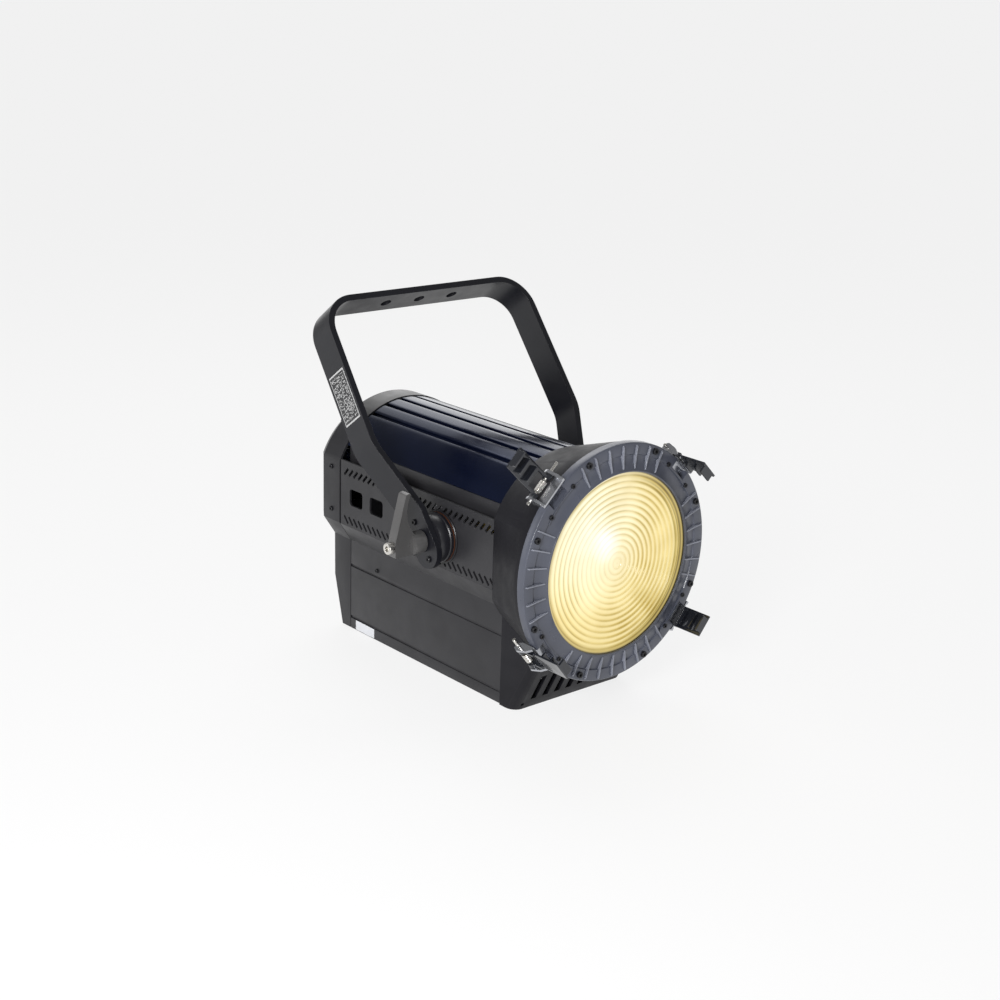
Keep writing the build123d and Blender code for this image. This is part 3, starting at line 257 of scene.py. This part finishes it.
def label_print(name):
    """Rating plate: black with a pale border and rows of short meaningless dashes."""
    dark, pale = (0.02, 0.02, 0.022), (0.50, 0.50, 0.50)
    mat, shader = blank(name, dark, 0.35)
    uv = add(mat, "ShaderNodeTexCoord").outputs["UV"]
    split = add(mat, "ShaderNodeSeparateXYZ", Vector=uv)
    off_centre = [calc(mat, "ABSOLUTE", calc(mat, "SUBTRACT", split.outputs[axis], 0.5)) for axis in "XY"]
    edge = calc(mat, "MAXIMUM", *off_centre)
    line = calc(mat, "MULTIPLY", split.outputs["Y"], 12.0)
    rows = calc(mat, "LESS_THAN", calc(mat, "FRACT", line), 0.5)
    along = calc(mat, "MULTIPLY", split.outputs["X"], 2.0)
    spot = add(mat, "ShaderNodeCombineXYZ", X=along, Y=calc(mat, "FLOOR", line)).outputs["Vector"]
    specks = add(mat, "ShaderNodeTexNoise", Vector=spot)
    specks.inputs["Scale"].default_value = 14.3
    dashes = calc(mat, "GREATER_THAN", specks.outputs["Fac"], 0.50)
    inside = calc(mat, "LESS_THAN", edge, 0.43)
    border = calc(mat, "GREATER_THAN", edge, 0.47)
    printed = calc(mat, "MAXIMUM", calc(mat, "MULTIPLY", calc(mat, "MULTIPLY", rows, dashes), inside), border)
    mat.node_tree.links.new(mix(mat, printed, dark, pale), shader.inputs["Base Color"])
    return mat


MATERIALS = {
    "body_dark": paint("body_dark", (0.020, 0.0197, 0.0225), 0.42,
                       Specular_IOR_Level=0.4),
    "cast_black": paint("cast_black", (0.0095, 0.0093, 0.0120), 0.46, Specular_IOR_Level=0.14),
    "cast_grey": paint("cast_grey", (0.074, 0.080, 0.104), 0.30, depth=0.00003),
    # Lighter copy of the cast grey for the bezel ribs: painted highlight along the ribs.
    "painted_highlight_ribs": paint("painted_highlight_ribs", (0.20, 0.21, 0.25), 0.26, depth=0.00002),
    "gloss_black": paint("gloss_black", (0.0018, 0.0032, 0.0120), 0.20, depth=0.000008,
                         Specular_Tint=(0.4, 0.55, 1.0, 1.0), Specular_IOR_Level=0.32),
    "clip_metal": paint("clip_metal", (0.016, 0.018, 0.024), 0.18, depth=0.00001, Metallic=0.3,
                        Coat_Weight=0.6, Coat_Roughness=0.12),
    # Lighter, more metallic copy of the clip metal for the clip brackets: painted highlight for the light they
    # catch.
    "highlit_bracket_metal": paint("highlit_bracket_metal", (0.46, 0.47, 0.50), 0.20, depth=0.00001, Metallic=0.9),
    "steel": metal("steel", (0.72, 0.70, 0.66), 0.24),
    "black_steel": paint("black_steel", (0.009, 0.009, 0.011), 0.34, depth=0.000008, Specular_IOR_Level=0.3),
    "bare_aluminium": metal("bare_aluminium", (0.62, 0.63, 0.65), 0.35),
    "friction_brown": paint("friction_brown", (0.075, 0.026, 0.012), 0.5),
    "disc_black": paint("disc_black", (0.007, 0.007, 0.010), 0.34, depth=0.000006),
    "lever_grey": paint("lever_grey", (0.13, 0.128, 0.128), 0.30, depth=0.00001, Metallic=0.4),
    "lens_glass": lit_lens("lens_glass"),
    "seal_rubber": paint("seal_rubber", (0.015, 0.015, 0.015), 0.7),
    "panel_black": paint("panel_black", (0.012, 0.012, 0.014), 0.25, depth=0.00001),
    "button_grey": paint("button_grey", (0.22, 0.23, 0.24), 0.4, depth=0.00001),
    "screen": paint("screen", (0.006, 0.018, 0.040), 0.08, depth=0.000002, Coat_Weight=0.8),
    "connector_blue": paint("connector_blue", (0.010, 0.045, 0.22), 0.3, depth=0.00001),
    "connector_grey": paint("connector_grey", (0.22, 0.22, 0.24), 0.35, depth=0.00001),
    "connector_metal": metal("connector_metal", (0.45, 0.45, 0.46), 0.3),
    "zinc_plate": metal("zinc_plate", (0.20, 0.20, 0.19), 0.45, (1, 12, 1)),
    "board_green": paint("board_green", (0.01, 0.07, 0.03), 0.4),
    "emitter_yellow": paint("emitter_yellow", (0.42, 0.31, 0.06), 0.4),
    "reflector": metal("reflector", (0.85, 0.85, 0.85), 0.12),
    "fan_black": paint("fan_black", (0.012, 0.012, 0.012), 0.4),
    "brass": metal("brass", (0.60, 0.42, 0.16), 0.3),
    "yoke_paint": paint("yoke_paint", (0.0065, 0.0068, 0.0100), 0.34, depth=0.00002, Specular_IOR_Level=0.38),
    "sticker": paint("sticker", (0.62, 0.63, 0.66), 0.5, depth=0.000005),
    "label": label_print("label"),
}
# The clip brackets take the lighter copy of the clip metal, a painted highlight.
LOOK_OF = {"yoke": "yoke_paint", "clip_brackets": "highlit_bracket_metal"}


# ---------------------------------------------------------------- piece helpers
def finish_piece(piece, body, slot, replaced=(), look=None):
    piece.data.materials.clear()
    piece.data.materials.append(MATERIALS[look or slot])
    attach(piece, body)
    if replaced:
        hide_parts(*replaced)
    return piece


def from_bmesh(name, bm, smooth_angle=35.0):
    mesh = bpy.data.meshes.new(name)
    bmesh.ops.recalc_face_normals(bm, faces=bm.faces)
    bm.to_mesh(mesh)
    bm.free()
    piece = bpy.data.objects.new(name, mesh)
    bpy.context.scene.collection.objects.link(piece)
    mesh.shade_smooth()
    mesh.set_sharp_from_angle(angle=radians(smooth_angle))
    return piece


def round_edges(piece, width, segments=2, angle=28.0):
    bevel = piece.modifiers.new("soft edges", "BEVEL")
    bevel.width = width
    bevel.segments = segments
    bevel.limit_method = "ANGLE"
    bevel.angle_limit = radians(angle)
    bevel.harden_normals = True
    bevel.use_clamp_overlap = True


def cut_away(piece, bm):
    """Cut the solids in bm out of a piece."""
    cutter = from_bmesh("cutter", bm)
    cut = piece.modifiers.new("cut", "BOOLEAN")
    cut.object = cutter
    cut.solver = "EXACT"
    shape = bpy.data.meshes.new_from_object(piece.evaluated_get(bpy.context.evaluated_depsgraph_get()))
    piece.modifiers.clear()
    piece.data = shape
    bpy.data.objects.remove(cutter)


def softened(cad_node, width, segments=2, angle=28.0, cutter=None):
    """A copy of a CAD node with its sharp edges rounded off, after cutter is cut out of it."""
    bm = bmesh.new()
    bm.from_mesh(NODES[cad_node].data)
    bmesh.ops.remove_doubles(bm, verts=bm.verts, dist=1e-6)
    bmesh.ops.dissolve_limit(bm, angle_limit=radians(0.6), verts=bm.verts, edges=bm.edges)
    piece = from_bmesh(cad_node + ".soft", bm, 50.0)
    if cutter:
        cut_away(piece, cutter)
    round_edges(piece, width, segments, angle)
    return finish_piece(piece, BODY_OF[cad_node], SLOT_OF[cad_node], [cad_node], LOOK_OF.get(cad_node))


def join_rings(bm, rings):
    """Skin closed rings of vertices into one turned solid."""
    for i, ring in enumerate(rings):
        after = rings[(i + 1) % len(rings)]
        for j in range(len(ring)):
            k = (j + 1) % len(ring)
            bm.faces.new((ring[j], ring[k], after[k], after[j]))


def lathe(bm, profile, segments):
    """Turn a closed (radius, y) profile about the optical axis into bm."""
    turns = [2 * pi * i / segments for i in range(segments)]
    join_rings(bm, [[bm.verts.new((r * sin(turn), y, AXIS_Z + r * cos(turn))) for r, y in profile]
                    for turn in turns])


def solid(bm, first, second):
    """Closed prism between two matching loops of points."""
    low = [bm.verts.new(p) for p in first]
    high = [bm.verts.new(p) for p in second]
    bm.faces.new(low)
    bm.faces.new(list(reversed(high)))
    for i in range(len(low)):
        j = (i + 1) % len(low)
        bm.faces.new((low[j], low[i], high[i], high[j]))


def at_turn(across, y, radius, turn):
    """Swing a point placed at the top of the bezel round the optical axis, towards +X."""
    x = across * cos(turn) + radius * sin(turn)
    z = radius * cos(turn) - across * sin(turn)
    return Vector((x, y, AXIS_Z + z))


def clip_turn(name):
    """Angle from the top of the bezel to a clip, towards +X."""
    hinge = JOINTS["clip_" + name]["pos_m"]
    return Vector((0, 1)).angle_signed(Vector((hinge[0], hinge[2] - AXIS_Z)))


def away_from_clips(turn, limit):
    return all(abs((turn - clip_turn(name) + pi) % (2 * pi) - pi) > limit for name in CLIPS)


# ---------------------------------------------------------------- bezel and lens
def build_bezel_ring():
    """Cast ring with a lip, a cone and a flat band, notched at each clip."""
    back_y, seat_r = BEZEL_HIGH.y, LENS_HIGH.x + 0.0005
    profile = [(CLEAR_R, LIP_Y + 0.0026), (CLEAR_R, LIP_Y + 0.0005), (CLEAR_R + 0.0005, LIP_Y),
               (CLEAR_R + 0.0016, LIP_Y), (CLEAR_R + 0.0024, LIP_Y + 0.0009),
               (BAND_IN_R - 0.001, BAND_Y + 0.0016), (BAND_IN_R, BAND_Y + 0.0014),
               (BAND_IN_R + 0.0008, BAND_Y), (BEZEL_R - 0.0016, BAND_Y),
               (BEZEL_R - 0.0005, BAND_Y + 0.0005), (BEZEL_R, BAND_Y + 0.0016),
               (BEZEL_R, back_y), (seat_r, back_y), (seat_r, LIP_Y + 0.0026)]
    bm = bmesh.new()
    lathe(bm, profile, 240)
    ring = from_bmesh("bezel", bm, 32.0)
    bm = bmesh.new()
    square = [(-NOTCH_HALF, NOTCH_FLOOR_R), (NOTCH_HALF, NOTCH_FLOOR_R),
              (NOTCH_HALF, BEZEL_R + 0.01), (-NOTCH_HALF, BEZEL_R + 0.01)]
    for name in CLIPS:
        turn = clip_turn(name)
        solid(bm, [at_turn(a, LIP_Y - 0.01, r, turn) for a, r in square],
              [at_turn(a, back_y + 0.01, r, turn) for a, r in square])
    cut_away(ring, bm)
    round_edges(ring, 0.0004, 2, 40.0)
    finish_piece(ring, "housing", "cast_grey", ["front_bezel"])


def build_bezel_ribs():
    """Thin raised ribs that cross the flat band and run on over the cone."""
    section = [(BEZEL_R - 0.0026, BAND_Y - RIB_RISE * 0.5), (BEZEL_R - 0.0042, BAND_Y - RIB_RISE),
               (BAND_IN_R - 0.0012, BAND_Y - RIB_RISE), (CLEAR_R + 0.0040, LIP_Y + 0.0004),
               (CLEAR_R + 0.0030, LIP_Y + 0.0012), (CLEAR_R + 0.0030, LIP_Y + 0.0040),
               (BEZEL_R - 0.0026, BAND_Y + 0.0030)]
    bm = bmesh.new()
    for i in range(RIB_COUNT):
        turn = 2 * pi * i / RIB_COUNT
        if not away_from_clips(turn, radians(13.5)):
            continue
        solid(bm, *[[at_turn(across, y, r, turn) for r, y in section] for across in (-RIB_HALF, RIB_HALF)])
    ribs = from_bmesh("bezel_ribs", bm, 40.0)
    round_edges(ribs, 0.0003, 2, 30.0)
    # The ribs take the lighter copy of the cast grey, a painted highlight.
    finish_piece(ribs, "housing", "cast_grey", (), "painted_highlight_ribs")


def build_bezel_steps():
    """Raised line along the inside of the band, beside each clip where there are no ribs."""
    end, steps = radians(13.2), 14
    r0, r1 = BAND_IN_R - 0.0006, BAND_IN_R + 0.0008
    section = [(r0, BAND_Y + 0.002), (r1, BAND_Y + 0.002), (r1, BAND_Y - 0.0006), (r0, BAND_Y - 0.0006)]
    bm = bmesh.new()
    for name in CLIPS:
        for i in range(-steps, steps):
            a, b = (clip_turn(name) + end * k / steps for k in (i, i + 1))
            solid(bm, [at_turn(0, y, r, a) for r, y in section], [at_turn(0, y, r, b) for r, y in section])
    finish_piece(from_bmesh("bezel_steps", bm, 40.0), "housing", "cast_grey")


def build_lens():
    """Fresnel lens: concentric facets, each one's steep back edge facing the rim."""
    front_y, back_y = LENS_LOW.y, LENS_HIGH.y
    pitch, relief = RING_PITCH, 0.0017
    profile = [(0.00002, front_y + 0.0003), (pitch * 0.5, front_y + 0.0004), (pitch * 0.93, front_y + 0.0009)]
    for i in range(1, RING_COUNT):
        r, depth = i * pitch, relief * (0.5 + 0.5 * i / RING_COUNT)
        profile += [(r, front_y + 0.0002), (r + pitch * 0.12, front_y),
                    (r + pitch * 0.55, front_y + depth * 0.4), (r + pitch * 0.95, front_y + depth)]
    profile += [(CLEAR_R, front_y), (LENS_HIGH.x, front_y), (LENS_HIGH.x, back_y), (0.00002, back_y)]
    bm = bmesh.new()
    lathe(bm, profile, 160)
    bmesh.ops.remove_doubles(bm, verts=bm.verts, dist=5e-6)
    finish_piece(from_bmesh("lens", bm, 24.0), "housing", "lens_glass", ["fresnel_lens"])


# ---------------------------------------------------------------- clips
def tube(bm, points, outs, radius, sides=8):
    """Round wire along a list of points; outs are directions square to the path."""
    rings = []
    for i, (point, out) in enumerate(zip(points, outs)):
        ahead = (points[min(i + 1, len(points) - 1)] - points[max(i - 1, 0)]).normalized()
        other = ahead.cross(out)
        turns = [2 * pi * k / sides for k in range(sides)]
        rings.append([bm.verts.new(point + radius * (cos(a) * out + sin(a) * other)) for a in turns])
    for first, second in zip(rings, rings[1:]):
        for k in range(sides):
            m = (k + 1) % sides
            bm.faces.new((first[k], first[m], second[m], second[k]))
    bm.faces.new(rings[0])
    bm.faces.new(list(reversed(rings[-1])))


def build_springs():
    """Close-wound torsion spring round each hinge pin."""
    coil_r, wire_r, turns, steps = 0.0034, 0.00066, 9, 16
    length = 2 * wire_r * 1.06 * turns
    bm = bmesh.new()
    for name in CLIPS:
        turn, hinge = clip_turn(name), Vector(JOINTS["clip_" + name]["pos_m"])
        hinge_r = (hinge - Vector((0, hinge.y, AXIS_Z))).length
        points, outs = [], []
        for i in range(turns * steps + 1):
            phase = 2 * pi * i / steps
            across = length * (i / (turns * steps) - 0.5)
            middle = at_turn(across, hinge.y, hinge_r, turn)
            points.append(at_turn(across, hinge.y + coil_r * cos(phase), hinge_r + coil_r * sin(phase), turn))
            outs.append((points[-1] - middle).normalized())
        tube(bm, points, outs, wire_r)
    finish_piece(from_bmesh("torsion_springs", bm, 60.0), "housing", "steel", ["clip_springs"])


def build_clips():
    for name in CLIPS:
        softened("clip_arm_" + name, 0.0005, 2, 40.0)
    softened("clip_brackets", 0.0004, 2, 40.0)
    softened("clip_pins", 0.0004, 2, 40.0)
    build_springs()


# ---------------------------------------------------------------- label and sticker
def plate(name, corners, thickness, body, slot, look):
    """Thin plate over four corners on the left side, with its print laid out by UV."""
    outward = Vector((-1, 0, 0))
    bm = bmesh.new()
    layer = bm.loops.layers.uv.new("print")
    low = [bm.verts.new(c) for c in corners]
    high = [bm.verts.new(c + outward * thickness) for c in corners]
    face = bm.faces.new(high)
    for loop, uv in zip(face.loops, ((0, 0), (1, 0), (1, 1), (0, 1))):
        loop[layer].uv = uv
    bm.faces.new(list(reversed(low)))
    for i in range(4):
        j = (i + 1) % 4
        bm.faces.new((low[i], low[j], high[j], high[i]))
    finish_piece(from_bmesh(name, bm), body, slot, (), look)


def build_plates():
    along = Vector((0, sin(YOKE_LEAN), cos(YOKE_LEAN)))
    across = Vector((0, cos(YOKE_LEAN), -sin(YOKE_LEAN)))
    knee_x, knee_u, top_x, top_u = -0.1519, 0.1126, -0.148, 0.2886

    def on_leg(u, w):
        x = knee_x + (top_x - knee_x) * (u - knee_u) / (top_u - knee_u)
        return Vector((x, 0, AXIS_Z)) + along * u + across * w

    corners = [on_leg(0.147, 0.015), on_leg(0.206, 0.015), on_leg(0.206, -0.016), on_leg(0.147, -0.016)]
    plate("rating_plate", corners, 0.0003, "yoke", "gloss_black", "label")
    outline = ((0.142, 0.0012), (0.1785, 0.0012), (0.1785, 0.0128), (0.142, 0.0128))
    corners = [Vector((SIDE_PANEL_X, y, z)) for y, z in outline]
    plate("blank_sticker", corners, 0.0002, "housing", "body_dark", "sticker")


# ---------------------------------------------------------------- carried-over nodes
def dress_cad():
    """Every CAD node that stays gets the material of its slot."""
    for name, obj in NODES.items():
        obj.data.materials.clear()
        obj.data.materials.append(MATERIALS[LOOK_OF.get(name, SLOT_OF[name])])


def build_softened():
    widths = {"yoke": 0.0009, "rear_cover": 0.004, "top_shell": 0.0007, "lock_lever": 0.0012,
              "pivot_bolt_left": 0.0006, "lower_side_left": 0.0005, "lower_side_right": 0.0005}
    for name, width in widths.items():
        softened(name, width)


def build_front_housing():
    """Front casting with rounded edges and its row of cooling slots cut through the foot."""
    pitch, half, low, high, count = 0.017, 0.0041, 0.012, 0.044, 8
    bm = bmesh.new()
    for i in range(count):
        x = (i - (count - 1) / 2) * pitch
        outline = [(x - half, low), (x + half, low), (x + half, high), (x - half, high)]
        solid(bm, *[[Vector((a, y, b)) for a, b in outline] for y in (-0.150, -0.104)])
    softened("front_housing", 0.003, cutter=bm)


def turned_x(bm, profile, side, segments=96):
    """Turn a closed (radius, distance from the middle) profile about the tilt axis into bm."""
    turns = [2 * pi * i / segments for i in range(segments)]
    join_rings(bm, [[bm.verts.new((side * x, r * sin(turn), AXIS_Z + r * cos(turn))) for r, x in profile]
                    for turn in turns])


def build_tilt_clutch():
    """Domed clamping disc on each yoke tab, against a thin fibre washer on the boss."""
    boss_x, disc_x, disc_r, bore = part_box("tilt_bosses")[1].x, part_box("tilt_discs")[1].x, 0.0282, 0.0055
    disc = [(bore, boss_x + 0.0012), (disc_r - 0.0006, boss_x + 0.0012), (disc_r, boss_x + 0.0018),
            (disc_r, boss_x + 0.0050), (disc_r - 0.0009, boss_x + 0.0060), (disc_r - 0.0009, boss_x + 0.0105),
            (disc_r - 0.0016, boss_x + 0.0138), (disc_r - 0.0034, disc_x), (bore, disc_x)]
    washer = [(bore, boss_x + 0.0001), (disc_r, boss_x + 0.0001),
              (disc_r, boss_x + 0.0009), (bore, boss_x + 0.0009)]
    for name, profile, cad_node in (("clutch_discs", disc, "tilt_discs"),
                                    ("clutch_washers", washer, "friction_washers")):
        bm = bmesh.new()
        for side in (-1, 1):
            turned_x(bm, profile, side)
        finish_piece(from_bmesh(name, bm, 30.0), BODY_OF[cad_node], SLOT_OF[cad_node], [cad_node])


# ---------------------------------------------------------------- stage, light and camera
def build_stage():
    bm = bmesh.new()
    bmesh.ops.create_circle(bm, cap_ends=True, radius=60.0, segments=96)
    floor = from_bmesh("floor", bm)
    floor.location.z = cad_low.z - 0.0002
    mat, shader = blank("floor", (0.14, 0.14, 0.14), 0.8, Specular_IOR_Level=0.0)
    shader.inputs["Emission Color"].default_value = (1, 1, 1, 1)
    shader.inputs["Emission Strength"].default_value = 0.82
    floor.data.materials.append(mat)


def build_light():
    """Dim studio surround with one bright soft patch behind the lamp, and three soft panels."""
    world = bpy.data.worlds.new("studio")
    world.use_nodes = True
    tree = world.node_tree
    background = tree.nodes["Background"]
    background.inputs["Color"].default_value = (1, 1, 1, 1)
    toward = tree.nodes.new("ShaderNodeVectorMath")
    toward.operation = "DOT_PRODUCT"
    toward.inputs[1].default_value = Vector((0.60, 0.72, 0.34)).normalized()
    tree.links.new(tree.nodes.new("ShaderNodeTexCoord").outputs["Generated"], toward.inputs[0])
    fade = tree.nodes.new("ShaderNodeMapRange")
    for name, value in (("From Min", 0.78), ("From Max", 0.97), ("To Min", 0.26), ("To Max", 2.2)):
        fade.inputs[name].default_value = value
    tree.links.new(toward.outputs["Value"], fade.inputs["Value"])
    tree.links.new(fade.outputs["Result"], background.inputs["Strength"])
    bpy.context.scene.world = world

    def panel(name, spot, size, power):
        light = bpy.data.lights.new(name, "AREA")
        light.shape = "RECTANGLE"
        light.size, light.size_y = size
        light.energy = power
        holder = bpy.data.objects.new(name, light)
        holder.location = spot
        holder.rotation_mode = "QUATERNION"
        holder.rotation_quaternion = (Vector((0, 0, 0.2)) - Vector(spot)).to_track_quat("-Z", "Y")
        bpy.context.scene.collection.objects.link(holder)

    panel("key", (-1.3, -0.85, 0.75), (0.45, 0.45), 22)
    panel("crown", (0.6, 0.9, 1.9), (1.2, 0.7), 10)
    panel("edge", (-1.8, 1.1, 0.9), (0.4, 1.2), 4)


def build_camera():
    """Camera in front of the lamp, on its left and above it, at the photographed angle."""
    spot = Vector((-1.2188, -1.3907, 0.7784))
    heading, down, roll = radians(40.94), radians(17.49), radians(1.78)
    ahead = Vector((sin(heading) * cos(down), cos(heading) * cos(down), -sin(down)))
    right = Vector((cos(heading), -sin(heading), 0))
    up = right.cross(ahead)
    turned_right = cos(roll) * right + sin(roll) * up
    turned_up = cos(roll) * up - sin(roll) * right
    data = bpy.data.cameras.new("camera")
    data.sensor_width = 36.0
    data.lens = 62.07
    data.clip_start, data.clip_end = 0.05, 200.0
    camera = bpy.data.objects.new("camera", data)
    axes = Matrix((turned_right, turned_up, -ahead)).transposed()
    camera.matrix_world = Matrix.Translation(spot) @ axes.to_4x4()
    bpy.context.scene.collection.objects.link(camera)
    bpy.context.scene.camera = camera


bpy.context.scene.view_settings.view_transform = "Standard"
build_camera()
build_stage()
build_light()
dress_cad()
build_softened()
build_front_housing()
build_tilt_clutch()
build_bezel_ring()
build_bezel_ribs()
build_bezel_steps()
build_lens()
build_clips()
build_plates()
